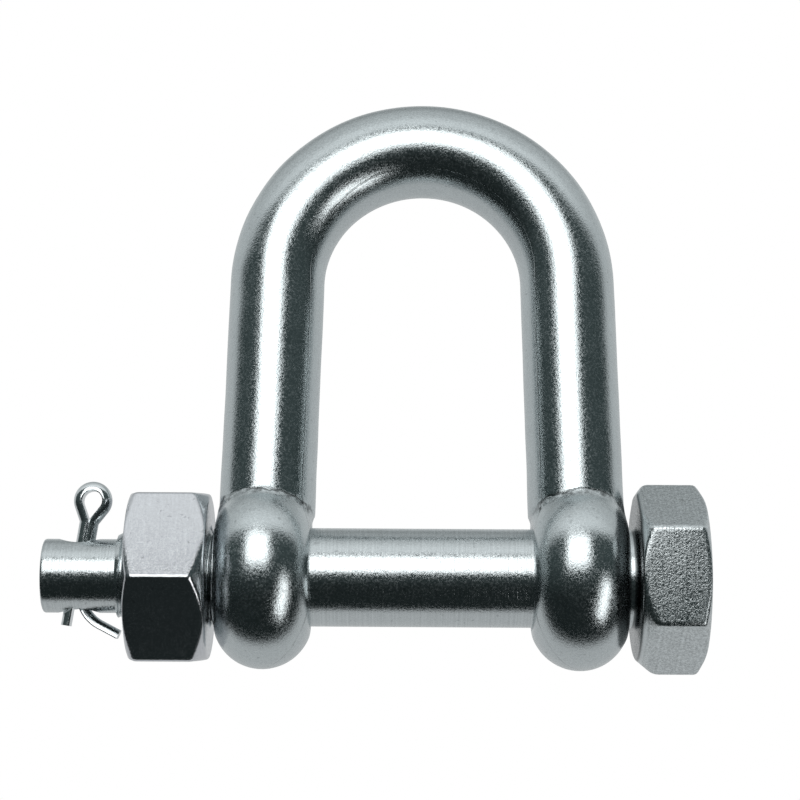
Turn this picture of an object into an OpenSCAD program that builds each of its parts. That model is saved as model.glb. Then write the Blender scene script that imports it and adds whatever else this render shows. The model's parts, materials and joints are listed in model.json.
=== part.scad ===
// Dee shackle with a hexagon-headed safety bolt, a nut and a split pin.
// The bolt lies along X with its head at +X. The crown of the bow is up, at +Z.
// The origin is on the bolt's axis, midway between the two eyes.

/* [Bow] */
// Thickness of the round bar that the bow is forged from
bar_d = 15.8; // [15.4:0.1:16]
// Radius of the crown, measured to the middle of the bar
crown_r = 24.4; // [24:0.1:26]
// Height of the crown's centre above the bolt's axis
crown_z = 49.6; // [44:0.2:60]
// Angle by which each leg spreads outwards on its way down to the eye
leg_spread = 1.4; // [0.8:0.1:2]

/* [Eyes] */
// Outside diameter of each eye
eye_d = 30; // [29.5:0.5:32]
// Thickness of each eye between its two machined faces
eye_t = 15.5; // [15:0.1:16]
// Radius of the eye's rounded rim
rim_r = 8.1; // [8:0.05:8.3]
// Diameter of the ring machined flat around the bore
facing_d = 20.4; // [19:0.2:21]
// Clear width of the jaw between the two eyes
jaw_w = 36; // [35:0.2:38]
// Bore through both eyes
eye_bore_d = 16.2; // [16.1:0.05:16.2]

/* [Bolt] */
// Diameter of the bolt's plain shank
pin_d = 16; // [16:0.05:16.05]
// Height of the hexagon head
head_h = 11; // [10:0.5:13]
// Gap between the head and the eye beside it
head_gap = 1.3; // [0.5:0.1:2]
// Diameter at which the thread is drawn, midway down its flanks
thread_d = 14.7; // [14.6:0.05:14.7]
// Length of thread that stands out past the nut, with its chamfer
thread_out = 1.9; // [1.5:0.1:4]
// Diameter of the chamfer where the thread ends
thread_end_d = 13.4; // [13:0.1:13.8]
// Diameter of the plain end that carries the split pin
dog_d = 12; // [12:0.1:12.6]
// Length of the plain end
dog_l = 12.1; // [11:0.1:14]
// Angle of the bolt about its axis as it rests
bolt_turn = 8; // [-30:1:30]

/* [Nut] */
// Width across the flats of the nut and of the bolt's head
across_flats = 27; // [24:0.5:28]
// Slope of the chamfer on the side that faces the eye
inner_slope = 40; // [30:1:50]
// Slope of the chamfer on the outer side
outer_slope = 24; // [20:1:40]
// Thickness of the nut
nut_h = 13; // [12:0.5:14]
// Gap between the nut and the eye beside it
nut_gap = 0.9; // [0.5:0.1:1.5]
// Bore of the nut, running on the thread
nut_bore_d = 14.9; // [14.8:0.05:14.9]
// Angle of the nut about its axis as it rests
nut_turn = 11; // [-30:1:30]

/* [Split pin] */
// Thickness of the two half-round legs laid together
split_d = 3.1; // [2.9:0.1:3.1]
// Cross hole in the plain end
split_hole_d = 4.8; // [4.8:0.1:5]
// Distance from the cross hole to the end of the bolt
split_edge = 5.7; // [5.6:0.1:7]
// Lean of the split pin in its loose hole, top towards the nut
split_lean = 9; // [6:0.5:9]
// Outside diameter of the split pin's eye
loop_d = 6.3; // [6:0.1:6.6]
// Height of the split pin's eye above the bolt's axis
loop_z = 12.6; // [12:0.1:13.5]
// Length of the straight leg below the bolt's axis
short_leg = 8.3; // [7.5:0.1:10]
// Angle through which the other leg is bent over, towards the nut
bend_angle = 71.6; // [66:0.2:75]
// Radius of that bend, to the flat of the wire
bend_r = 6.5; // [6:0.1:6.6]
// Length of the bent leg past its bend
bent_leg = 3.6; // [2:0.1:3.8]

/* [Hidden] */
steel = [0.74, 0.75, 0.76];
bright_steel = [0.82, 0.83, 0.84];
turned_steel = [0.66, 0.67, 0.68];

// Roundness of the curved surfaces
fine = 128;
medium = 64;

// The bow and its eyes. Each leg ends inside its eye, and laps into the crown
// as a slightly thinner bar, so that their round surfaces never coincide.
eye_x = (jaw_w + eye_t) / 2;
eye_face_x = jaw_w / 2 + eye_t;
rim_ring_r = eye_d / 2 - rim_r;
foot_z = 7;
leg_top_x = crown_r * cos(leg_spread);
leg_top_z = crown_z + crown_r * sin(leg_spread);
leg_l = (leg_top_z - foot_z) / cos(leg_spread);
leg_lap = 1;
leg_slimness = 0.1;
leg_d = bar_d - leg_slimness;
facing_cut = 2;

// How far a cutting shape reaches past what it cuts
past = 1;

// Stations along the bolt, from the head to the tip
head_x = eye_face_x + head_gap;
head_end_x = head_x + head_h;
shank_out = 0.2;
shank_end_x = -eye_face_x - shank_out;
nut_x = -eye_face_x - nut_gap;
nut_end_x = nut_x - nut_h;
dog_x = nut_end_x - thread_out;
tip_x = dog_x - dog_l;
split_x = tip_x + split_edge;
head_root = 3;
tip_chamfer = 0.5;
thread_chamfer = 1;
shank_chamfer = 0.6;

// The hexagons, whose corners are turned off to a round face
corner_d = across_flats / cos(30);
washer_share = 0.97;
washer_d = across_flats * washer_share;
nut_mouth_d = 16.6;

// The cross hole
sink_h = 1;
split_hole_mouth_r = split_hole_d / 2 + sink_h;

// The split pin, in its own frame with its legs along Z. The legs run a little into its eye.
half_wire = split_d / 2;
loop_in_r = loop_d / 2 - half_wire;
loop_bite = 0.1;
stem_top = loop_z - loop_in_r - loop_bite;
legs_part = 1.8;

// A round bar along X from one station to another
module x_bar(from, to, d) {
    translate([from, 0, 0])
        rotate([0, 90, 0])
            cylinder(h = to - from, d = d, $fn = fine);
}

// A hexagon along X, with its corners turned off to a cone at both ends.
// It has a flat to the front, or a corner when it is turned by 30 degrees.
module hexagon(from, to, turn, from_slope, to_slope) {
    h = to - from;
    corner_depth = (corner_d - washer_d) / 2;
    from_h = corner_depth * tan(from_slope);
    to_h = corner_depth * tan(to_slope);
    translate([from, 0, 0])
        rotate([turn, 0, 0])
            rotate([0, 90, 0])
                intersection() {
                    cylinder(h = h, d = corner_d, $fn = 6);
                    union() {
                        cylinder(h = from_h, d1 = washer_d, d2 = corner_d, $fn = fine);
                        translate([0, 0, from_h])
                            cylinder(h = h - from_h - to_h, d = corner_d, $fn = fine);
                        translate([0, 0, h - to_h])
                            cylinder(h = to_h, d1 = corner_d, d2 = washer_d, $fn = fine);
                    }
                }
}

// The half ring at the top of the bow, short of a half turn by the spread of the legs
module crown() {
    translate([0, 0, crown_z])
        rotate([90, 0, 0])
            rotate([0, 0, leg_spread])
                rotate_extrude(angle = 180 - 2 * leg_spread, $fn = fine)
                    translate([crown_r, 0])
                        circle(d = bar_d, $fn = medium);
}

// The leg at +X, from just inside the end of the crown down into its eye
module leg() {
    translate([leg_top_x, 0, leg_top_z])
        rotate([0, 180 - leg_spread, 0])
            translate([0, 0, -leg_lap])
                cylinder(h = leg_l + leg_lap, d = leg_d, $fn = medium);
}

// The eye at +X: a thick disc with a fully rounded rim
module eye() {
    translate([eye_x, 0, 0])
        rotate([0, 90, 0])
            rotate_extrude($fn = fine)
                intersection() {
                    translate([rim_ring_r, 0])
                        circle(r = rim_r, $fn = medium);
                    translate([0, -eye_t / 2])
                        square([eye_d, eye_t]);
                }
}

// What the tool removes when it faces both sides of the eye at +X
module facing() {
    x_bar(jaw_w / 2 - facing_cut, jaw_w / 2, facing_d);
    x_bar(eye_face_x, eye_face_x + facing_cut, facing_d);
}

module shackle_body() {
    color(steel)
        difference() {
            union() {
                crown();
                for (side = [0, 1])
                    mirror([side, 0, 0]) {
                        leg();
                        eye();
                    }
            }
            for (side = [0, 1])
                mirror([side, 0, 0])
                    facing();
            x_bar(-eye_face_x - past, eye_face_x + past, eye_bore_d);
        }
}

// The turned part of the bolt, as a profile of radius against distance from the tip
module bolt_stem() {
    pin_r = pin_d / 2;
    thread_r = thread_d / 2;
    end_r = thread_end_d / 2;
    dog_r = dog_d / 2;
    profile = [
        [0, 0],
        [dog_r - tip_chamfer, 0],
        [dog_r, tip_chamfer],
        [dog_r, dog_x - tip_x],
        [end_r, dog_x - tip_x],
        [thread_r, dog_x + thread_chamfer - tip_x],
        [thread_r, shank_end_x - shank_chamfer - tip_x],
        [pin_r, shank_end_x - tip_x],
        [pin_r, head_x + head_root - tip_x],
        [0, head_x + head_root - tip_x]
    ];
    translate([tip_x, 0, 0])
        rotate([0, 90, 0])
            rotate_extrude($fn = fine)
                polygon(profile);
}

// The cross hole, with a countersink at each mouth
module split_hole() {
    translate([split_x, 0, 0]) {
        cylinder(h = dog_d + 2 * past, d = split_hole_d, center = true, $fn = medium);
        for (side = [0, 1])
            mirror([0, 0, side])
                translate([0, 0, dog_d / 2 - sink_h]) {
                    cylinder(h = sink_h, r1 = split_hole_d / 2, r2 = split_hole_mouth_r, $fn = medium);
                    translate([0, 0, sink_h])
                        cylinder(h = past, r = split_hole_mouth_r, $fn = medium);
                }
    }
}

module bolt() {
    color(turned_steel)
        rotate([bolt_turn, 0, 0])
            difference() {
                union() {
                    hexagon(head_x, head_end_x, 0, inner_slope, outer_slope);
                    bolt_stem();
                }
                split_hole();
            }
}

module nut() {
    mouth_h = (nut_mouth_d - nut_bore_d) / 2;
    color(bright_steel)
        difference() {
            hexagon(nut_end_x, nut_x, nut_turn + 30, outer_slope, inner_slope);
            x_bar(nut_end_x - past, nut_x + past, nut_bore_d);
            translate([nut_end_x, 0, 0])
                rotate([0, 90, 0])
                    cylinder(h = mouth_h, d1 = nut_mouth_d, d2 = nut_bore_d, $fn = fine);
            translate([nut_x - mouth_h, 0, 0])
                rotate([0, 90, 0])
                    cylinder(h = mouth_h, d1 = nut_bore_d, d2 = nut_mouth_d, $fn = fine);
        }
}

// Section of one leg of the split pin: its flat on the Y axis, its round side to +X
module half_round() {
    intersection() {
        circle(r = half_wire, $fn = medium);
        translate([0, -half_wire])
            square([half_wire, split_d]);
    }
}

// The leg that is bent over: it starts down along -Z and turns towards +X
module bent_over_leg() {
    translate([bend_r, 0, -legs_part])
        rotate([90, 0, 0])
            rotate([0, 0, 180]) {
                rotate_extrude(angle = bend_angle, $fn = medium)
                    translate([bend_r, 0])
                        mirror([1, 0])
                            half_round();
                rotate([0, 0, bend_angle])
                    rotate([-90, 0, 0])
                        linear_extrude(bent_leg)
                            translate([bend_r, 0])
                                mirror([1, 0])
                                    half_round();
            }
}

module split_pin() {
    color(bright_steel)
        rotate([bolt_turn, 0, 0])
            translate([split_x, 0, 0])
                rotate([0, split_lean, 0])
                    union() {
                        translate([0, 0, loop_z])
                            rotate([90, 0, 0])
                                rotate_extrude($fn = medium)
                                    translate([loop_in_r, 0])
                                        half_round();
                        translate([0, 0, -legs_part])
                            cylinder(h = stem_top + legs_part, d = split_d, $fn = medium);
                        translate([0, 0, -short_leg])
                            linear_extrude(short_leg - legs_part)
                                mirror([1, 0])
                                    half_round();
                        bent_over_leg();
                    }
}

shackle_body();
bolt();
nut();
split_pin();
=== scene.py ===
import json
import math

import bmesh
import bpy
import numpy as np
from mathutils import Matrix, Vector


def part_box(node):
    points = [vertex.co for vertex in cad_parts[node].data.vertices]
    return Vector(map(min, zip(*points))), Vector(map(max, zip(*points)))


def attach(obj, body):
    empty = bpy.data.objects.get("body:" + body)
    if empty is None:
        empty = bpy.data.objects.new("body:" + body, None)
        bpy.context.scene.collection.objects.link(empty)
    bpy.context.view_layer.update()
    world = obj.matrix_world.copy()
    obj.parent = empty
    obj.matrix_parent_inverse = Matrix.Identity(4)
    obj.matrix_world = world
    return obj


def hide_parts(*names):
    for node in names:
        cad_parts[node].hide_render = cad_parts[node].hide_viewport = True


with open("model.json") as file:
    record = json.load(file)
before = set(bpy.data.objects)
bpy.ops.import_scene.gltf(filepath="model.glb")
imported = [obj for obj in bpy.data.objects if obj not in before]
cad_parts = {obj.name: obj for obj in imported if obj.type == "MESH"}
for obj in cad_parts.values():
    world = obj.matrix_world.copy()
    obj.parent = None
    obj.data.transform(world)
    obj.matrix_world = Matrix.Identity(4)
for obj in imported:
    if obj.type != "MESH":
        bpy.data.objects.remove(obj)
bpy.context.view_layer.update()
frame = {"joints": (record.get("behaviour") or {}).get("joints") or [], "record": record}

bl_info = {
    "name": "Dee Shackle",
    "version": (1, 0, 0),
    "blender": (4, 5, 0),
    "location": "View3D > Sidebar > Shackle",
    "description": "Builds a dee shackle with its bolt, nut and split pin, and a studio to look at it in",
    "category": "Object",
}

MM = 0.001
BOW_LOW, BOW_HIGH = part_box("shackle_body")
BOLT_LOW, BOLT_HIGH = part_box("bolt")
NUT_LOW, NUT_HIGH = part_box("nut")
SWIVEL = next(j for j in frame["joints"] if j["name"] == "split_pin_swivel")
PIN_UP = Vector(SWIVEL["axis"]).normalized()
PIN_HOLE = Vector(SWIVEL["pos_m"])
BOLT_TURN = math.atan2(-PIN_UP.y, PIN_UP.z)

# Slopes of the chamfers of the head and the nut: next to an eye, and away from it
INNER_SLOPE = math.radians(40)
OUTER_SLOPE = math.radians(24)


# ---------------------------------------------------------------- node trees

class Tap:
    """A socket of a node tree. Sums on it add Math nodes, and node() adds any other node."""

    def __init__(self, tree, socket=None):
        self.tree = tree
        self.socket = socket

    def node(self, kind, settings=None, inputs=None, out=0):
        """Adds a node: its settings first, then the values or links of its sockets."""
        made = self.tree.nodes.new(kind)
        for key, value in (settings or {}).items():
            setattr(made, key, value)
        for key, value in (inputs or {}).items():
            socket = made.inputs[key]
            if isinstance(value, Tap):
                self.tree.links.new(value.socket, socket)
            else:
                socket.default_value = value
        return Tap(self.tree, made.outputs[out]) if made.outputs else made

    def math(self, operation, *values):
        return self.node("ShaderNodeMath", {"operation": operation}, dict(enumerate(values)))

    def __add__(self, other):
        return self.math("ADD", self, other)

    def __radd__(self, other):
        return self.math("ADD", other, self)

    def __sub__(self, other):
        return self.math("SUBTRACT", self, other)

    def __rsub__(self, other):
        return self.math("SUBTRACT", other, self)

    def __mul__(self, other):
        return self.math("MULTIPLY", self, other)

    def __rmul__(self, other):
        return self.math("MULTIPLY", other, self)

    def __truediv__(self, other):
        return self.math("DIVIDE", self, other)

    def __rtruediv__(self, other):
        return self.math("DIVIDE", other, self)


def smooth_step(value, low, high):
    """0 below low, 1 above high, and an easy slope between them."""
    return value.node("ShaderNodeMapRange", {"interpolation_type": "SMOOTHSTEP"},
                      {"Value": value, "From Min": low, "From Max": high, "To Min": 0.0, "To Max": 1.0})


def new_tree(name, inputs):
    """An empty geometry tree with the named inputs, as (tree, start, {name: Tap})."""
    tree = bpy.data.node_groups.new(name, "GeometryNodeTree")
    tree.interface.new_socket("Geometry", in_out="INPUT", socket_type="NodeSocketGeometry")
    tree.interface.new_socket("Geometry", in_out="OUTPUT", socket_type="NodeSocketGeometry")
    for label, kind in inputs.items():
        tree.interface.new_socket(label, in_out="INPUT", socket_type=kind)
    entry = tree.nodes.new("NodeGroupInput")
    taps = {label: Tap(tree, entry.outputs[label]) for label in ["Geometry", *inputs]}
    return tree, Tap(tree), taps


def end_tree(start, geometry, material):
    """Realizes the instances, sets the material and closes the tree."""
    real = start.node("GeometryNodeRealizeInstances", None, {"Geometry": geometry})
    painted = start.node("GeometryNodeSetMaterial", None, {"Geometry": real, "Material": material})
    leave = start.tree.nodes.new("NodeGroupOutput")
    start.tree.links.new(painted.socket, leave.inputs[0])


def grow(name, tree, values, base=None):
    """The plain mesh that a geometry tree makes on a base object, or on an empty mesh."""
    data = base or bpy.data.meshes.new(name + "_base")
    seed = bpy.data.objects.new(name + "_seed", data)
    bpy.context.scene.collection.objects.link(seed)
    modifier = seed.modifiers.new("Tree", "NODES")
    modifier.node_group = tree
    for item in tree.interface.items_tree:
        if item.in_out == "INPUT" and item.name in values:
            modifier[item.identifier] = values[item.name]
    bpy.context.view_layer.update()
    graph = bpy.context.evaluated_depsgraph_get()
    mesh = bpy.data.meshes.new_from_object(seed.evaluated_get(graph))
    mesh.name = name
    seed.modifiers.remove(modifier)
    bpy.data.objects.remove(seed)
    return mesh


# ---------------------------------------------------------------- mesh helpers

def place(name, mesh, body, node, material, sharp=35.0):
    """Links a finished mesh as a piece that rides on a body and stands for a CAD node."""
    piece = bpy.data.objects.new(name, mesh)
    bpy.context.scene.collection.objects.link(piece)
    mesh.materials.clear()
    mesh.materials.append(material)
    mesh.polygons.foreach_set("use_smooth", [True] * len(mesh.polygons))
    if sharp:
        mesh.set_sharp_from_angle(angle=math.radians(sharp))
    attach(piece, body)
    if node:
        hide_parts(node)
    return piece


def applied(mesh, *modifiers):
    """The mesh after modifiers, each given as (kind, settings)."""
    holder = bpy.data.objects.new("holder", mesh)
    bpy.context.scene.collection.objects.link(holder)
    for kind, settings in modifiers:
        modifier = holder.modifiers.new(kind, kind)
        for key, value in settings.items():
            setattr(modifier, key, value)
    bpy.context.view_layer.update()
    graph = bpy.context.evaluated_depsgraph_get()
    result = bpy.data.meshes.new_from_object(holder.evaluated_get(graph))
    bpy.data.objects.remove(holder)
    return result


def get_points(mesh):
    points = np.empty(len(mesh.vertices) * 3)
    mesh.vertices.foreach_get("co", points)
    return points.reshape(-1, 3)


def set_points(mesh, points):
    mesh.vertices.foreach_set("co", np.ascontiguousarray(points).ravel())
    mesh.update()


def lathe(name, rings, angles, closed=False):
    """A mesh about the X axis from rings of (x, radius), where either may change with the angle.

    The angles are counted from -Y towards -Z. A ring of radius 0 becomes one point."""
    count = len(angles)
    points = []
    rows = []
    for x, radius in rings:
        x = np.broadcast_to(x, count)
        radius = np.broadcast_to(radius, count)
        first = len(points)
        if radius.max() == 0:
            points.append((x[0], 0.0, 0.0))
            rows.append([first] * count)
            continue
        points.extend(zip(x, -radius * np.cos(angles), -radius * np.sin(angles)))
        rows.append(list(range(first, first + count)))
    if closed:
        rows.append(rows[0])
    faces = []
    for low, high in zip(rows, rows[1:]):
        for i in range(count):
            j = (i + 1) % count
            face = []
            for corner in (low[i], low[j], high[j], high[i]):
                if corner not in face:
                    face.append(corner)
            faces.append(face)
    mesh = bpy.data.meshes.new(name)
    mesh.from_pydata(points, [], faces)
    mesh.update()
    return mesh


def rounded(profile, count, steps=4):
    """The rings of a profile of (x, radius, rounding) whose corners are eased into short curves."""
    corners = [np.array([np.broadcast_to(x, count), np.broadcast_to(radius, count)])
               for x, radius, _ in profile]
    rings = []
    for k, (corner, (_, _, ease)) in enumerate(zip(corners, profile)):
        if not ease:
            rings.append(corner)
            continue
        ends = []
        for other in (corners[k - 1], corners[(k + 1) % len(corners)]):
            away = other - corner
            far = np.hypot(*away)
            ends.append(corner + away / far * np.minimum(ease, 0.45 * far))
        for t in np.linspace(0.0, 1.0, steps + 1):
            rings.append((1 - t) ** 2 * ends[0] + 2 * t * (1 - t) * corner + t ** 2 * ends[1])
    return rings


def hexagon_angles(per_flat=24, per_corner=8, corner_half=math.radians(2.4)):
    """Angles round a hexagon, close together where its corners are rounded."""
    flat_half = math.radians(30) - corner_half
    one = list(np.linspace(-flat_half, flat_half, per_flat, endpoint=False))
    one += list(np.linspace(flat_half, flat_half + 2 * corner_half, per_corner, endpoint=False))
    return np.array([math.radians(60) * k + a for k in range(6) for a in one])


def hexagon_radius(angles, flats, corner_round):
    """Distance from the axis to the side of a hexagon with rounded corners."""
    sixth = math.radians(60)
    from_flat = (angles + sixth / 2) % sixth - sixth / 2
    from_corner = sixth / 2 - np.abs(from_flat)
    centre = (flats / 2 - corner_round) / math.cos(sixth / 2)
    round_from = sixth / 2 - math.atan(centre * math.sin(sixth / 2) / (flats / 2))
    inside = np.maximum(corner_round ** 2 - (centre * np.sin(from_corner)) ** 2, 0.0)
    round_side = centre * np.cos(from_corner) + np.sqrt(inside)
    return np.where(from_corner < round_from, round_side, flats / 2 / np.cos(from_flat))


def turn_about_x(mesh, angle):
    mesh.transform(Matrix.Rotation(angle, 4, "X"))
    return mesh


# ---------------------------------------------------------------- settings

def length(label, about, value, **more):
    return bpy.props.FloatProperty(name=label, description=about, default=value, unit="LENGTH", **more)


def shade(label, about, value):
    return bpy.props.FloatVectorProperty(name=label, description=about, default=value, subtype="COLOR",
                                         size=3, min=0.0, max=1.0)


def amount(label, about, value, high=1.0):
    return bpy.props.FloatProperty(name=label, description=about, default=value, min=0.0, max=high)


class BowSizes(bpy.types.PropertyGroup):
    bar: length("Bar", "Thickness of the round bar", 15.8 * MM)
    spread: bpy.props.FloatProperty(name="Spread", description="Lean of each leg outwards, towards its eye",
                                    default=math.radians(1.4), unit="ROTATION")
    crown_radius: length("Crown radius", "Radius of the crown, to the middle of the bar", 24.4 * MM)
    eye: length("Eye", "Outside diameter of each eye", 30.0 * MM)
    eye_width: length("Eye width", "Thickness of each eye between its faces", 15.5 * MM)
    rim: length("Rim", "Radius of the rounded rim of an eye", 8.1 * MM)
    squash: bpy.props.FloatProperty(name="Squash", default=0.92, min=0.85, max=1.0,
                                    description="How far the dies flatten an eye's front and back")
    lift: length("Lift", "How far an eye's front and back bulge above its bore", 1.0 * MM)
    facing: length("Facing", "Diameter of the ring machined flat round the bore", 20.4 * MM)
    bore: length("Bore", "Diameter of the bore through both eyes", 16.2 * MM)
    blend: length("Blend", "Size of the fillet where a leg runs into its eye", 1.0 * MM)
    waver: length("Waver", "Unevenness that the forging leaves", 0.035 * MM)
    grain: length("Grain", "Spacing of the mesh", 0.42 * MM)


class BoltSizes(bpy.types.PropertyGroup):
    shank: length("Shank", "Diameter of the plain shank", 16.0 * MM)
    flats: length("Flats", "Width across the flats of the head and the nut", 27.0 * MM)
    head: length("Head", "Height of the head", 11.0 * MM)
    washer: length("Washer", "Diameter of the round face of the head and the nut", 26.19 * MM)
    thread: length("Thread", "Outside diameter of the thread", 15.8 * MM)
    pitch: length("Pitch", "Distance from one thread to the next", 2.0 * MM)
    depth: length("Depth", "Depth of the thread", 1.3 * MM)
    chamfer: length("Thread end", "Diameter of the chamfer at the end of the thread", 13.4 * MM)
    dog: length("Plain end", "Diameter of the plain end", 12.0 * MM)
    dog_length: length("Plain end length", "Length of the plain end", 12.1 * MM)
    hole: length("Cross hole", "Diameter of the cross hole", 4.8 * MM)
    sink: length("Countersink", "Depth of the countersink at each mouth of the hole", 1.0 * MM)
    corner: length("Corner", "Rounding of the hexagon's six corners", 1.0 * MM)
    edge: length("Edge", "Rounding of the hexagon's chamfered edges", 1.0 * MM)
    slip: length("Slip", "How far off centre the head's inner chamfer is", 1.0 * MM)


class SplitPinSizes(bpy.types.PropertyGroup):
    wire: length("Wire", "Thickness of both half-round legs together", 3.06 * MM)
    loop: length("Loop", "Inside radius of the eye", 1.62 * MM)
    neck: length("Neck", "Height of the neck above the bolt's axis", 8.7 * MM)
    flare: bpy.props.FloatProperty(name="Flare", description="Lean of the sides of the eye", unit="ROTATION",
                                   default=math.radians(29))
    short_leg: length("Short leg", "Reach of the straight leg below the bolt's axis", 8.3 * MM)
    parting: length("Parting", "Depth below the bolt's axis at which the legs part", 1.8 * MM)
    bend: bpy.props.FloatProperty(name="Bend", description="Angle of the leg that is bent over",
                                  unit="ROTATION", default=math.radians(71.6))
    bend_radius: length("Bend radius", "Radius of the bend, to the flat of the wire", 6.5 * MM)
    bent_leg: length("Bent leg", "Length of the bent leg past its bend", 3.5 * MM)


class SteelFinish(bpy.types.PropertyGroup):
    forged: shade("Forged steel", "Colour of the bow", (0.56, 0.605, 0.615))
    turned: shade("Turned steel", "Colour of the bolt", (0.57, 0.61, 0.62))
    bright: shade("Bright steel", "Colour of the nut", (0.62, 0.635, 0.66))
    drawn: shade("Drawn steel", "Colour of the split pin", (0.71, 0.745, 0.755))


class StudioSettings(bpy.types.PropertyGroup):
    distance: length("Distance", "From the camera to the bolt's axis", 0.371)
    elevation: bpy.props.FloatProperty(name="Elevation", description="Camera's height above level",
                                       unit="ROTATION", default=math.radians(-15))
    roll: bpy.props.FloatProperty(name="Roll", description="Turn of the camera about its own axis",
                                  unit="ROTATION", default=math.radians(0.35))
    lens: bpy.props.FloatProperty(name="Lens", description="Focal length in millimetres", default=102.4)
    aim_right: length("Aim right", "How far right of the origin the camera points", -3.65 * MM)
    aim_up: length("Aim up", "How far above the origin the camera points", 28.98 * MM)
    floor: length("Floor", "Height of the floor", -0.60)
    key: amount("Key", "Brightness of the large soft box", 2.3, 50.0)
    fill: amount("Fill", "Brightness of the small soft box", 2.2, 50.0)


GROUPS = {"shackle_bow": BowSizes, "shackle_bolt": BoltSizes, "shackle_split_pin": SplitPinSizes,
          "shackle_finish": SteelFinish, "shackle_studio": StudioSettings}


# ---------------------------------------------------------------- steels

# How many of each mark a metre of steel holds
CLOUDS, PATCHES, PITS, SCALE, TEARS = 140.0, 420.0, 1250.0, 2600.0, 800.0
WANDER, JITTER, FADING = 260.0, 1300.0, 170.0
BRUSHING = (2600.0, 260.0, 260.0)
BUMP = 0.010 * MM


def steel(name, colour, roughness, grain, grain_size, stain, speckle=0.2, glitter=0.20, rings=0.0,
          ring_pitch=0.3, brushed=0.0, flash=False, coarse=None, painted_shade_spans=()):
    """A bare steel, grainy and slightly stained.

    Speckle varies its tone and glitter its roughness. Rings are turning marks about X, and brushed is a
    fine grain across X. Flash adds the marks of forging that the mesh's attributes place. Coarse is a
    station on X past which the skin is as forged, and the shaded spans are stretches of X darkened with
    painted shade."""
    material = bpy.data.materials.new(name)
    material.use_nodes = True
    tree = material.node_tree
    tree.nodes.clear()
    start = Tap(tree)
    place_at = start.node("ShaderNodeTexCoord", out="Object")
    along_x = start.node("ShaderNodeSeparateXYZ", None, {"Vector": place_at}, out="X")

    def noise(scale, detail, rough=0.6, vector=place_at):
        return start.node("ShaderNodeTexNoise", None, {
            "Vector": vector, "Scale": scale, "Detail": detail, "Roughness": rough})

    fine = noise(1.0 / grain_size, 3.0, 0.7)
    cloud = noise(CLOUDS, 4.0) - 0.5
    patches = noise(PATCHES, 3.0) - 0.5
    pits = smooth_step(noise(PITS, 1.0, 0.4), 0.69, 0.75)
    crisp = smooth_step(fine, 0.30, 0.70) - 0.5
    height = crisp * grain
    shine = roughness + crisp * glitter + cloud * stain + patches * (stain * 0.8)
    tone = 1.0 + cloud * (stain * 1.2) + patches * (stain * 0.8) + crisp * speckle - pits * 0.20
    if rings:
        wobble = start.node("ShaderNodeTexNoise", {"noise_dimensions": "1D"}, {
            "W": along_x * (1.0 / (ring_pitch * MM)), "Scale": 1.0, "Detail": 3.0, "Roughness": 0.7})
        groove = smooth_step(wobble, 0.30, 0.70) - 0.5
        height = height + groove * rings
        tone = tone + groove * 0.14
    if brushed:
        stretched = start.node("ShaderNodeMapping", None, {"Vector": place_at, "Scale": BRUSHING})
        streaks = noise(1.0, 2.0, 0.6, stretched)
        height = height + (streaks - 0.5) * brushed
        tone = tone + (smooth_step(streaks, 0.3, 0.7) - 0.5) * 0.06
    if coarse:
        skin = smooth_step(along_x, coarse - 0.1 * MM, coarse + 0.1 * MM)
        scale = smooth_step(noise(SCALE, 2.0, 0.75), 0.35, 0.65) - 0.5
        height = height + scale * skin * (grain * 1.6)
        shine = shine + skin * 0.03
        tone = tone + scale * skin * 0.40 - skin * 0.03
    if flash:
        mark = start.node("ShaderNodeAttribute", {"attribute_name": "flash"}, out="Fac")
        clumps = noise(TEARS, 5.0, 0.75)
        torn = mark * smooth_step(clumps, 0.42, 0.62)
        tone = tone - torn * 0.55 - mark * 0.08
        shine = shine + torn * 0.25
        height = height + (clumps - 0.5) * mark * (grain * 5.0)
        lap = start.node("ShaderNodeAttribute", {"attribute_name": "lap"}, out="Fac")
        forged = start.node("ShaderNodeAttribute", {"attribute_name": "forged"}, out="Fac")
        around = start.node("ShaderNodeAttribute", {"attribute_name": "around"}, out="Fac")
        wander = (noise(WANDER, 3.0) - 0.5) * 1.6 + (noise(JITTER, 2.0) - 0.5) * 0.5
        faint = smooth_step(noise(FADING, 2.0), 0.40, 0.55)

        def line(value, at, wide):
            """1 on a thin line where the value is at a number, and 0 beside it."""
            off = value.math("ABSOLUTE", value - at)
            return 1.0 - smooth_step(off, wide * 0.35, wide)

        creases = line(lap + wander, -0.45, 0.22) * forged * (0.25 + 0.75 * faint)
        # The trimmed parting line runs inside the bow, and nearer its front at the crown
        upright = start.node("ShaderNodeSeparateXYZ", None, {"Vector": place_at}, out="Z")
        trimmed = 49.0 - smooth_step(upright, 35 * MM, 80 * MM) * 12.0
        trim = line(around + wander * 3.0, trimmed, 1.3) * (0.35 + 0.65 * faint)
        tone = tone * (1.0 - creases * 0.55) - trim * 0.30
        height = height - creases * (grain * 3.5) + trim * (grain * 2.0)
    # Painted shade: each listed span of X is darkened, as shade in the gap between the head and the eye
    for low, high in painted_shade_spans:
        painted_shade_band = smooth_step(along_x, low - 0.25 * MM, low) - smooth_step(along_x, high, high + 0.25 * MM)
        tone = tone * (1.0 - painted_shade_band * 0.72)
    base = start.node("ShaderNodeCombineColor", None, {
        "Red": tone * colour[0], "Green": tone * colour[1], "Blue": tone * colour[2]})
    bump = start.node("ShaderNodeBump", None, {"Height": height, "Distance": BUMP, "Strength": 1.0})
    shine = start.node("ShaderNodeClamp", None, {"Value": shine, "Min": 0.06, "Max": 0.85})
    surface = start.node("ShaderNodeBsdfPrincipled", None, {
        "Base Color": base, "Metallic": 1.0, "Roughness": shine, "Normal": bump})
    start.node("ShaderNodeOutputMaterial", None, {"Surface": surface})
    return material


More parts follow.
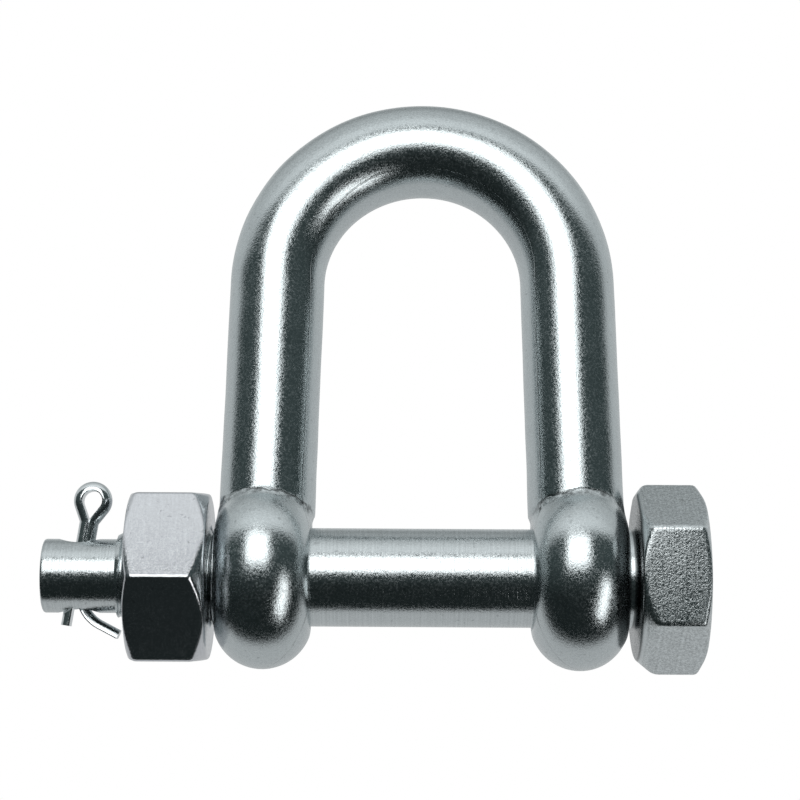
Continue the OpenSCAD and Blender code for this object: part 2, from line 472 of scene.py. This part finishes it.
def forged_steel():
    finish = bpy.context.scene.shackle_finish
    return steel("forged_stainless", finish.forged, roughness=0.18, grain=1.0, grain_size=0.34 * MM,
                 stain=0.12, speckle=0.26, glitter=0.24, flash=True)


def turned_steel():
    finish = bpy.context.scene.shackle_finish
    sizes = bpy.context.scene.shackle_bolt
    head = float(BOLT_HIGH[0]) - sizes.head
    # The stretch of X at the head's inner face gets painted shade, for the gap beside the eye
    return steel("turned_stainless", finish.turned, roughness=0.18, grain=0.8, grain_size=0.34 * MM,
                 stain=0.10, glitter=0.24, rings=1.1, ring_pitch=0.42,
                 coarse=head + 0.8 * MM, painted_shade_spans=[(head - 0.6 * MM, head + 0.15 * MM)])


def bright_steel():
    finish = bpy.context.scene.shackle_finish
    return steel("bright_stainless", finish.bright, roughness=0.16, grain=0.5, grain_size=0.34 * MM,
                 stain=0.07, speckle=0.16, glitter=0.16, brushed=0.6)


def drawn_steel():
    finish = bpy.context.scene.shackle_finish
    return steel("drawn_stainless", finish.drawn, roughness=0.15, grain=0.3, grain_size=0.24 * MM,
                 stain=0.08, speckle=0.10)


# ---------------------------------------------------------------- the bow

def bow_facts():
    """The lengths that the bow's shape follows, taken from its settings and from the frame."""
    sizes = bpy.context.scene.shackle_bow
    crown_z = BOW_HIGH[2] - sizes.crown_radius - sizes.bar / 2
    eye_x = BOW_HIGH[0] - sizes.eye_width / 2
    foot_z = 7 * MM
    top_z = crown_z + sizes.crown_radius * math.sin(sizes.spread)
    leg = (top_z - foot_z) / math.cos(sizes.spread)
    return sizes, crown_z, eye_x, leg


def bow_tree(material):
    """A bar swept along the crown and both legs, joined to two round eyes and bored."""
    tree, start, given = new_tree("Bow", {
        "Bar radius": "NodeSocketFloat", "Crown radius": "NodeSocketFloat", "Crown height": "NodeSocketFloat",
        "Spread": "NodeSocketFloat", "Leg": "NodeSocketFloat", "Eye radius": "NodeSocketFloat",
        "Eye width": "NodeSocketFloat", "Eye place": "NodeSocketFloat", "Bore radius": "NodeSocketFloat"})
    steps = 161
    line = start.node("GeometryNodeMeshLine", None, {"Count": steps})
    place_in_line = start.node("GeometryNodeInputIndex") * (2.0 / (steps - 1)) - 1.0
    side = place_in_line.math("SIGN", place_in_line)
    quarter = math.pi / 2 - given["Spread"]
    arc = quarter * given["Crown radius"]
    along = place_in_line.math("ABSOLUTE", place_in_line) * (arc + given["Leg"])
    angle = along.math("MINIMUM", along, arc) / given["Crown radius"]
    down = along.math("MAXIMUM", along - arc, 0.0)
    lean = start.math("SINE", given["Spread"])
    fall = start.math("COSINE", given["Spread"])
    across = (start.math("SINE", angle) * given["Crown radius"] + down * lean) * side
    up = given["Crown height"] + start.math("COSINE", angle) * given["Crown radius"] - down * fall
    spot = start.node("ShaderNodeCombineXYZ", None, {"X": across, "Z": up})
    path = start.node("GeometryNodeSetPosition", None, {"Geometry": line, "Position": spot})
    curve = start.node("GeometryNodeMeshToCurve", None, {"Mesh": path})
    section = start.node("GeometryNodeCurvePrimitiveCircle", None, {
        "Resolution": 72, "Radius": given["Bar radius"]})
    bar = start.node("GeometryNodeCurveToMesh", None, {
        "Curve": curve, "Profile Curve": section, "Fill Caps": True})
    sideways = (0.0, math.pi / 2, 0.0)
    eye = start.node("GeometryNodeMeshCylinder", None, {
        "Vertices": 120, "Radius": given["Eye radius"], "Depth": given["Eye width"]})
    drill = start.node("GeometryNodeMeshCylinder", None, {
        "Vertices": 120, "Radius": given["Bore radius"], "Depth": given["Eye place"] * 4.0})
    bore = start.node("GeometryNodeTransform", None, {"Geometry": drill, "Rotation": sideways})
    solid = bar
    for hand in (-1.0, 1.0):
        shift = start.node("ShaderNodeCombineXYZ", None, {"X": given["Eye place"] * hand})
        placed = start.node("GeometryNodeTransform", None, {
            "Geometry": eye, "Translation": shift, "Rotation": sideways})
        union = start.node("GeometryNodeMeshBoolean", {"operation": "UNION", "solver": "EXACT"})
        start.tree.links.new(solid.socket, union.socket.node.inputs["Mesh 2"])
        start.tree.links.new(placed.socket, union.socket.node.inputs["Mesh 2"])
        solid = union
    bored = start.node("GeometryNodeMeshBoolean", {"operation": "DIFFERENCE", "solver": "EXACT"})
    start.tree.links.new(solid.socket, bored.socket.node.inputs["Mesh 1"])
    start.tree.links.new(bore.socket, bored.socket.node.inputs["Mesh 2"])
    end_tree(start, bored, material)
    return tree


def ease_min(a, b, size):
    """The smaller of two distances, with a fillet where they are alike."""
    near = np.maximum(size - np.abs(a - b), 0.0) / size
    return np.minimum(a, b) - near ** 2 * size / 4


def ease_max(a, b, size):
    return -ease_min(-a, -b, size)


def bow_distances(points):
    """How far points are from the bar, from the eyes and from the finished bow."""
    sizes, crown_z, eye_x, leg = bow_facts()
    x = np.abs(points[:, 0])
    y = points[:, 1]
    z = points[:, 2]
    ex, ez = math.cos(sizes.spread), math.sin(sizes.spread)
    qx, qz = x, z - crown_z
    down = qx * ez - qz * ex
    ring = np.sqrt(qx ** 2 + qz ** 2) - sizes.crown_radius
    past = np.maximum(down - leg, 0.0)
    beside = qx * ex + qz * ez - sizes.crown_radius
    inward = np.where(down > 0, np.sqrt(beside ** 2 + past ** 2), ring)
    bar = np.sqrt(inward ** 2 + y ** 2) - sizes.bar / 2
    u = x - eye_x
    r = np.sqrt(y ** 2 + z ** 2)
    lifted = z - sizes.lift * (2 * y / sizes.eye) ** 2
    oval = np.sqrt((y / sizes.squash) ** 2 + lifted ** 2)
    out = np.maximum(oval - (sizes.eye / 2 - sizes.rim), 0.0)
    eye = np.sqrt(out ** 2 + u ** 2) - sizes.rim
    whole = ease_min(bar, eye, sizes.blend)
    facing = np.maximum(r - sizes.facing / 2, sizes.eye_width / 2 - np.abs(u))
    whole = ease_max(whole, -facing, 0.25 * MM)
    whole = ease_max(whole, sizes.bore / 2 - r, 0.5 * MM)
    return bar, eye, whole


def bow_angle(points):
    """Angle about the bar in degrees: 0 at its front and back, 90 inside the bow and -90 outside it."""
    sizes, crown_z, _, _ = bow_facts()
    x, y = np.abs(points[:, 0]), np.abs(points[:, 1])
    over = points[:, 2] - crown_z
    on_crown = np.hypot(x, over)
    on_leg = x * math.cos(sizes.spread) + over * math.sin(sizes.spread)
    inward = sizes.crown_radius - np.where(over > 0, on_crown, on_leg)
    return np.degrees(np.arctan2(inward, y))


def waver(points, waves, seed):
    """An even, gentle unevenness made of a few waves with fixed directions, from about -1 to 1."""
    chance = np.random.default_rng(seed)
    total = np.zeros(len(points))
    for size in waves:
        for _ in range(4):
            way = chance.normal(size=3)
            way *= 2 * math.pi / size / np.linalg.norm(way)
            total += np.sin(points @ way + chance.uniform(0, 2 * math.pi))
    return total / (2.0 * math.sqrt(len(waves)))


def slope(points, field, step=0.02 * MM):
    """Direction in which a field grows."""
    result = np.empty_like(points)
    for axis in range(3):
        shift = np.zeros(3)
        shift[axis] = step
        result[:, axis] = (field(points + shift) - field(points - shift)) / (2 * step)
    return result


def finish_bow(mesh):
    """Settles a rough mesh on the bow's true surface and gives it the marks of forging."""
    def field(p):
        return bow_distances(p)[2]

    passes = 14
    stride = 0.8 * MM
    seam_width = 0.55 * MM
    points = get_points(mesh)
    for _ in range(passes):
        way = slope(points, field)
        size = np.maximum((way ** 2).sum(axis=1), 0.05)
        move = way * (field(points) / size)[:, None]
        far = np.maximum(np.linalg.norm(move, axis=1) / stride, 1.0)
        points = points - move / far[:, None]
    sizes = bpy.context.scene.shackle_bow
    bar, eye, _ = bow_distances(points)
    seam = np.exp(-((bar - eye) / seam_width) ** 2) * (np.abs(points[:, 2]) < 20 * MM)
    r = np.hypot(points[:, 1], points[:, 2])
    machined = 1.0 / (1.0 + np.exp((r - sizes.facing / 2 - 0.3 * MM) / (0.15 * MM)))
    rough = waver(points, [1.2 * MM, 2.3 * MM], 5) * seam
    lift = sizes.waver * waver(points, [9 * MM, 17 * MM, 31 * MM], 3) * 0.8 + 0.09 * MM * rough
    lift *= 1.0 - machined
    way = slope(points, field)
    way /= np.maximum(np.linalg.norm(way, axis=1), 1e-6)[:, None]
    set_points(mesh, points + way * (lift - 0.03 * MM * (1 - machined))[:, None])
    marks = {"flash": seam * (1 - machined), "lap": np.clip((bar - eye) / MM, -6, 6),
             "forged": (1 - machined) * (np.abs(points[:, 2]) < 22 * MM), "around": bow_angle(points)}
    for name, values in marks.items():
        layer = mesh.attributes.new(name, "FLOAT", "POINT")
        layer.data.foreach_set("value", np.ascontiguousarray(values))


class SHACKLE_OT_bow(bpy.types.Operator):
    """Build the forged bow with its two eyes"""
    bl_idname = "shackle.bow"
    bl_label = "Bow"

    def execute(self, context):
        sizes, crown_z, eye_x, leg = bow_facts()
        material = forged_steel()
        blank = grow("bow_blank", bow_tree(material), {
            "Bar radius": sizes.bar / 2, "Crown radius": sizes.crown_radius, "Crown height": crown_z,
            "Spread": sizes.spread, "Leg": leg - 2 * MM, "Eye radius": sizes.eye / 2 - 0.5 * MM,
            "Eye width": sizes.eye_width - 0.5 * MM, "Eye place": eye_x,
            "Bore radius": sizes.bore / 2 + 0.2 * MM})
        if not blank.polygons:
            raise RuntimeError("the bow's tree made nothing")
        mesh = applied(blank, ("REMESH", {"mode": "VOXEL", "voxel_size": sizes.grain}))
        mesh.name = "forged_bow"
        finish_bow(mesh)
        place("forged_bow", mesh, "bow", "shackle_body", material, sharp=0)
        return {"FINISHED"}


# ---------------------------------------------------------------- the bolt and the nut

def thread_tree(material):
    """A thread as one closed skin: rings of points whose distance from the axis follows the helix."""
    tree, start, given = new_tree("Thread", {
        "Outside radius": "NodeSocketFloat", "Depth": "NodeSocketFloat", "Pitch": "NodeSocketFloat",
        "From": "NodeSocketFloat", "To": "NodeSocketFloat", "Chamfer radius": "NodeSocketFloat"})
    around, rows = 145, 181
    grid = start.node("GeometryNodeMeshGrid", None, {
        "Size X": 1.0, "Size Y": 1.0, "Vertices X": rows, "Vertices Y": around})
    at = start.node("GeometryNodeInputPosition")
    row = start.node("ShaderNodeSeparateXYZ", None, {"Vector": at}, out="X") + 0.5
    turn = (start.node("ShaderNodeSeparateXYZ", None, {"Vector": at}, out="Y") + 0.5) * (2 * math.pi)
    inner_row = row * ((rows - 1) / (rows - 3)) - 1.0 / (rows - 3)
    held = start.node("ShaderNodeClamp", None, {"Value": inner_row})
    span = given["To"] - given["From"]
    x = given["From"] + span * held
    phase = (x - given["From"]) / given["Pitch"] + turn / (2 * math.pi) + 0.5
    wave = start.math("PINGPONG", phase, 0.5) * 2.0
    flank = smooth_step(wave, 0.12, 0.88)
    chamfer = given["Chamfer radius"] + (x - given["From"]) * 0.5
    radius = given["Outside radius"] - flank * given["Depth"]
    radius = radius.math("MINIMUM", radius, chamfer)
    is_end = start.math("GREATER_THAN", row.math("ABSOLUTE", row - 0.5), 0.5 - 0.5 / (rows - 1))
    radius = radius * (1.0 - is_end)
    spot = start.node("ShaderNodeCombineXYZ", None, {
        "X": x, "Y": start.math("COSINE", turn) * radius, "Z": start.math("SINE", turn) * radius})
    skin = start.node("GeometryNodeSetPosition", None, {"Geometry": grid, "Position": spot})
    joined = start.node("GeometryNodeMergeByDistance", None, {"Geometry": skin, "Distance": 0.002 * MM})
    end_tree(start, joined, material)
    return tree


def outward(mesh):
    """Turns the faces of a closed mesh to point outwards."""
    work = bmesh.new()
    work.from_mesh(mesh)
    bmesh.ops.recalc_face_normals(work, faces=work.faces)
    if work.calc_volume(signed=True) < 0:
        bmesh.ops.reverse_faces(work, faces=work.faces)
    work.to_mesh(mesh)
    work.free()
    return mesh


def hexagon_profile(near, far, side, washer, slope_near, slope_far, edge, slip=0.0):
    """The rings of a hexagon's two chamfers and its flats, from its near face to its far one.

    The slip moves the cone of the near chamfer off centre, by angle."""
    near_drop = np.maximum(side + slip - washer / 2, 0.1 * MM) * math.tan(slope_near)
    far_drop = (side - washer / 2) * math.tan(slope_far)
    return [(near, washer / 2, edge * 0.4), (near + near_drop, side, edge),
            (far - far_drop, side, edge * 0.7), (far, washer / 2, edge * 0.5)]


class SHACKLE_OT_bolt(bpy.types.Operator):
    """Turn the bolt, with its hexagon head, shank, thread and plain end"""
    bl_idname = "shackle.bolt"
    bl_label = "Bolt"

    def execute(self, context):
        sizes = context.scene.shackle_bolt
        material = turned_steel()
        tip = float(BOLT_LOW[0])
        head_end = float(BOLT_HIGH[0])
        head = head_end - sizes.head
        dog_end = tip + sizes.dog_length
        shank_end = float(BOW_LOW[0]) - 0.2 * MM
        core = sizes.thread / 2 - sizes.depth - 0.2 * MM
        angles = hexagon_angles()
        side = hexagon_radius(angles, sizes.flats, sizes.corner)
        shank = sizes.shank / 2
        profile = [
            (tip, 0.0, 0), (tip, sizes.dog / 2, 0.45 * MM),
            (dog_end, sizes.dog / 2, 0.1 * MM), (dog_end, core, 0),
            (shank_end - 0.5 * MM, core, 0), (shank_end, shank, 0.15 * MM),
            (head - 2.2 * MM, shank, 0), (head, shank, 0.9 * MM)]
        profile += hexagon_profile(head, head_end, side, sizes.washer, INNER_SLOPE, OUTER_SLOPE,
                                   sizes.edge, slip=sizes.slip * np.sin(angles - math.radians(15)))
        profile += [(head_end, 0.0, 0)]
        mesh = outward(lathe("bolt_blank", rounded(profile, len(angles)), angles))
        hole_x = PIN_HOLE.x
        reach = sizes.dog
        mouth = sizes.dog / 2 - sizes.sink
        wide = sizes.hole / 2 + sizes.sink
        over = wide + reach - sizes.dog / 2
        drill_rings = [(-reach, 0.0), (-reach, over), (-mouth, sizes.hole / 2), (mouth, sizes.hole / 2),
                       (reach, over), (reach, 0.0)]
        drill = outward(lathe("drill", drill_rings, np.linspace(0, 2 * math.pi, 96, endpoint=False)))
        drill.transform(Matrix.Translation((hole_x, 0, 0)) @ Matrix.Rotation(math.radians(90), 4, "Y"))
        tool = bpy.data.objects.new("drill", drill)
        context.scene.collection.objects.link(tool)
        mesh = applied(mesh, ("BOOLEAN", {"operation": "DIFFERENCE", "object": tool, "solver": "EXACT"}))
        bpy.data.objects.remove(tool)
        turn_about_x(mesh, BOLT_TURN)
        mesh.name = "turned_bolt"
        place("turned_bolt", mesh, "bolt", "bolt", material)

        thread = grow("bolt_thread", thread_tree(material), {
            "Outside radius": sizes.thread / 2, "Depth": sizes.depth, "Pitch": sizes.pitch,
            "From": dog_end, "To": shank_end - 0.3 * MM, "Chamfer radius": sizes.chamfer / 2})
        place("bolt_thread", outward(thread), "bolt", None, material, sharp=50)
        return {"FINISHED"}


class SHACKLE_OT_nut(bpy.types.Operator):
    """Make the hexagon nut"""
    bl_idname = "shackle.nut"
    bl_label = "Nut"

    def execute(self, context):
        sizes = context.scene.shackle_bolt
        near = float(NUT_LOW[0])
        far = float(NUT_HIGH[0])
        angles = hexagon_angles()
        side = hexagon_radius(angles, sizes.flats, 0.75 * sizes.corner)
        bore = sizes.thread / 2 + 0.12 * MM
        mouth = bore + 0.5 * MM
        profile = [(near + 0.5 * MM, bore, 0.1 * MM), (near, mouth, 0.1 * MM)]
        profile += hexagon_profile(near, far, side, sizes.washer, OUTER_SLOPE, INNER_SLOPE, sizes.edge)
        profile += [(far, mouth, 0.1 * MM), (far - 0.5 * MM, bore, 0.1 * MM)]
        mesh = outward(lathe("hexagon_nut", rounded(profile, len(angles)), angles, closed=True))
        turn_about_x(mesh, nut_turn())
        place("hexagon_nut", mesh, "nut", "nut", bright_steel())
        return {"FINISHED"}


def nut_turn():
    """Angle at which the nut rests, read from the mount on one of its flats."""
    flat = next(m for m in frame["record"]["mounts"] if m["name"] == "nut_flat")
    return math.atan2(-flat["axis"][2], -flat["axis"][1])


# ---------------------------------------------------------------- the split pin

def turtle(start, heading, moves, step=math.radians(6)):
    """Points along a flat path of straight runs and arcs, each given as ("run", length) or
    ("left" or "right", radius, angle)."""
    at = Vector(start)
    way = heading
    path = [at.copy()]
    for move in moves:
        if move[0] == "run":
            at = at + Vector((math.cos(way), math.sin(way))) * move[1]
            path.append(at.copy())
            continue
        hand = 1.0 if move[0] == "left" else -1.0
        radius, angle = move[1:]
        centre = at + Vector((-math.sin(way), math.cos(way))) * (hand * radius)
        count = max(2, round(angle / step))
        arm = at - centre
        for k in range(1, count + 1):
            part = Matrix.Rotation(hand * angle * k / count, 2)
            path.append(centre + part @ arm)
        at = path[-1].copy()
        way += hand * angle
    return path


def wire_tree(material):
    """A half-round wire swept along a path, its flat on the path."""
    tree, start, given = new_tree("Half-round wire", {
        "Radius": "NodeSocketFloat", "Softness": "NodeSocketFloat"})
    arc = start.node("GeometryNodeCurveArc", {"mode": "RADIUS"}, {
        "Resolution": 25, "Radius": given["Radius"], "Start Angle": -math.pi / 2, "Sweep Angle": math.pi})
    outside = start.node("GeometryNodeTransform", None, {"Geometry": arc, "Rotation": (0.0, 0.0, math.pi)})
    ring = start.node("GeometryNodeSetSplineCyclic", None, {"Geometry": outside, "Cyclic": True})
    soft = start.node("GeometryNodeFilletCurve", None, {"Curve": ring, "Radius": given["Softness"]})
    path = start.node("GeometryNodeMeshToCurve", None, {"Mesh": given["Geometry"]})
    upright = start.node("GeometryNodeSetCurveNormal", {"mode": "Z_UP"}, {"Curve": path})
    swept = start.node("GeometryNodeCurveToMesh", None, {
        "Curve": upright, "Profile Curve": soft, "Fill Caps": True})
    end_tree(start, swept, material)
    return tree


class SHACKLE_OT_split_pin(bpy.types.Operator):
    """Bend the split pin from half-round wire"""
    bl_idname = "shackle.split_pin"
    bl_label = "Split pin"

    def execute(self, context):
        sizes = context.scene.shackle_split_pin
        gap = 0.06 * MM
        soft_bend = 1.6 * MM
        flare = sizes.flare
        # The side of the eye runs straight from the soft bend at the neck to the round of the loop
        bend_across = soft_bend * (1 - math.cos(flare))
        loop_across = sizes.loop * math.cos(flare)
        side = (loop_across - gap / 2 - bend_across) / math.sin(flare)
        rise = sizes.neck + sizes.short_leg
        turn = math.pi + 2 * flare
        moves = [("run", rise), ("left", soft_bend, flare), ("run", side), ("right", sizes.loop, turn),
                 ("run", side), ("left", soft_bend, flare), ("run", sizes.neck + sizes.parting),
                 ("left", sizes.bend_radius, sizes.bend), ("run", sizes.bent_leg)]
        path = turtle((-gap / 2, -sizes.short_leg), math.pi / 2, moves)
        line = bpy.data.meshes.new("pin_path")
        line.from_pydata([(at.x, at.y, 0.0) for at in path], [(k, k + 1) for k in range(len(path) - 1)], [])
        material = drawn_steel()
        mesh = outward(grow("split_pin_wire", wire_tree(material), {
            "Radius": sizes.wire / 2, "Softness": 0.16 * MM}, base=line))
        across = (Vector((1, 0, 0)) - PIN_UP * PIN_UP.x).normalized()
        stand = Matrix((across, PIN_UP, across.cross(PIN_UP))).transposed().to_4x4()
        mesh.transform(Matrix.Translation(PIN_HOLE) @ stand)
        place("split_pin_wire", outward(mesh), "split_pin", "split_pin", material, sharp=40)
        return {"FINISHED"}


# ---------------------------------------------------------------- the studio

def soft_box(name, way, distance, width, height, power):
    """A rectangular light that faces the object from a direction."""
    data = bpy.data.lights.new(name, "AREA")
    data.shape = "RECTANGLE"
    data.size = width
    data.size_y = height
    data.energy = power * width * height * math.pi
    lamp = bpy.data.objects.new(name, data)
    target = Vector((0, 0, 0.03))
    lamp.location = target + way.normalized() * distance
    lamp.rotation_euler = (target - lamp.location).to_track_quat("-Z", "Y").to_euler()
    bpy.context.scene.collection.objects.link(lamp)
    return lamp


def camera_axes(elevation):
    """Unit vectors right, up and towards the camera."""
    towards = Vector((0, -math.cos(elevation), math.sin(elevation)))
    up = Vector((0, math.sin(elevation), math.cos(elevation)))
    return Vector((1, 0, 0)), up, towards


def studio_world(towards, up):
    """Dark in front, light grey overhead and behind, and white to look at."""
    world = bpy.data.worlds.new("studio")
    world.use_nodes = True
    tree = world.node_tree
    tree.nodes.clear()
    start = Tap(tree)
    way = start.node("ShaderNodeTexCoord", out="Generated")

    def along(axis):
        return start.node("ShaderNodeVectorMath", {"operation": "DOT_PRODUCT"},
                          {0: way, 1: tuple(axis)}, out="Value")

    front = along(towards)
    height = along(up)
    above = start.math("MAXIMUM", height, 0.0)
    below = start.math("MAXIMUM", height * -1.0, 0.0)
    # The open room begins behind a limit that comes forwards overhead and, less, underneath
    limit = above * above + below * below * 0.50 - 0.24
    open_side = smooth_step(limit - front, -0.07, 0.09)
    canopy = smooth_step(front, -0.25, 0.30) * smooth_step(height, 0.40, 0.70) * 0.36
    far_top = smooth_step(front * -1.0, 0.35, 0.80) * smooth_step(height, 0.30, 0.65) * 0.28
    room = smooth_step(height, -0.35, 0.45) * 0.055 + 0.022
    opened = open_side * (0.56 + canopy - far_top)
    bright = opened + room
    seen = start.node("ShaderNodeLightPath", out="Is Camera Ray")
    reflected = start.node("ShaderNodeBackground", None, {
        "Color": start.node("ShaderNodeCombineColor", None, {
            "Red": opened + room * 0.76, "Green": bright * 1.01, "Blue": bright * 1.02}), "Strength": 1.0})
    plain = start.node("ShaderNodeBackground", None, {"Color": (1.0, 1.0, 1.0, 1.0), "Strength": 1.0})
    mixed = start.node("ShaderNodeMixShader", None, {0: seen, 1: reflected, 2: plain})
    start.node("ShaderNodeOutputWorld", None, {"Surface": mixed})
    bpy.context.scene.world = world


def floor_material():
    material = bpy.data.materials.new("pale_floor")
    material.use_nodes = True
    shader = material.node_tree.nodes["Principled BSDF"]
    shader.inputs["Base Color"].default_value = (0.86, 0.86, 0.86, 1.0)
    shader.inputs["Roughness"].default_value = 0.9
    shader.inputs["Specular IOR Level"].default_value = 0.1
    return material


class SHACKLE_OT_studio(bpy.types.Operator):
    """Set up the floor, the lights and the camera"""
    bl_idname = "shackle.studio"
    bl_label = "Studio"

    def execute(self, context):
        studio = context.scene.shackle_studio
        right, up, towards = camera_axes(studio.elevation)
        half = 1.5
        low = studio.floor
        mesh = bpy.data.meshes.new("floor")
        mesh.from_pydata([(-half, -half, low), (half, -half, low), (half, half, low), (-half, half, low)], [],
                         [(0, 1, 2, 3)])
        mesh.materials.append(floor_material())
        floor = bpy.data.objects.new("floor", mesh)
        context.scene.collection.objects.link(floor)
        floor.visible_glossy = False

        def seen_from_camera(azimuth, elevation):
            side, rise = math.radians(azimuth), math.radians(elevation)
            return (right * math.sin(side) * math.cos(rise) + up * math.sin(rise)
                    + towards * math.cos(side) * math.cos(rise))

        soft_box("key_box", seen_from_camera(-10.5, 34.5), 1.0, 0.86, 0.70, studio.key)
        soft_box("low_box", seen_from_camera(47, -20), 0.62, 0.20, 0.42, studio.fill)
        studio_world(towards, up)

        data = bpy.data.cameras.new("camera")
        data.lens = studio.lens
        data.clip_start = 0.01
        camera = bpy.data.objects.new("camera", data)
        context.scene.collection.objects.link(camera)
        spin = Matrix.Rotation(studio.roll, 3, towards)
        axes = spin @ Matrix((right, up, towards)).transposed()
        camera.matrix_world = Matrix.Translation(
            right * studio.aim_right + up * studio.aim_up + towards * studio.distance) @ axes.to_4x4()
        context.scene.camera = camera
        context.scene.view_settings.view_transform = "Standard"
        return {"FINISHED"}


# ---------------------------------------------------------------- the panel

class SHACKLE_PT_panel(bpy.types.Panel):
    """Sizes and steps of the shackle"""
    bl_label = "Dee shackle"
    bl_idname = "SHACKLE_PT_panel"
    bl_space_type = "VIEW_3D"
    bl_region_type = "UI"
    bl_category = "Shackle"

    def draw(self, context):
        layout = self.layout
        for key, group in GROUPS.items():
            box = layout.box()
            box.label(text=key.replace("shackle_", "").replace("_", " ").capitalize())
            for label in group.__annotations__:
                box.prop(getattr(context.scene, key), label)
        for step in STEPS:
            layout.operator(step.bl_idname)


STEPS = [SHACKLE_OT_studio, SHACKLE_OT_bow, SHACKLE_OT_bolt, SHACKLE_OT_nut, SHACKLE_OT_split_pin]


def register():
    for group in GROUPS.values():
        bpy.utils.register_class(group)
    for key, group in GROUPS.items():
        setattr(bpy.types.Scene, key, bpy.props.PointerProperty(type=group))
    for step in STEPS:
        bpy.utils.register_class(step)
    bpy.utils.register_class(SHACKLE_PT_panel)


def unregister():
    bpy.utils.unregister_class(SHACKLE_PT_panel)
    for step in reversed(STEPS):
        bpy.utils.unregister_class(step)
    for key in GROUPS:
        delattr(bpy.types.Scene, key)
    for group in reversed(list(GROUPS.values())):
        bpy.utils.unregister_class(group)


def main():
    register()
    bpy.ops.shackle.studio()
    bpy.ops.shackle.bow()
    bpy.ops.shackle.bolt()
    bpy.ops.shackle.nut()
    bpy.ops.shackle.split_pin()


if __name__ == "__main__":
    main()
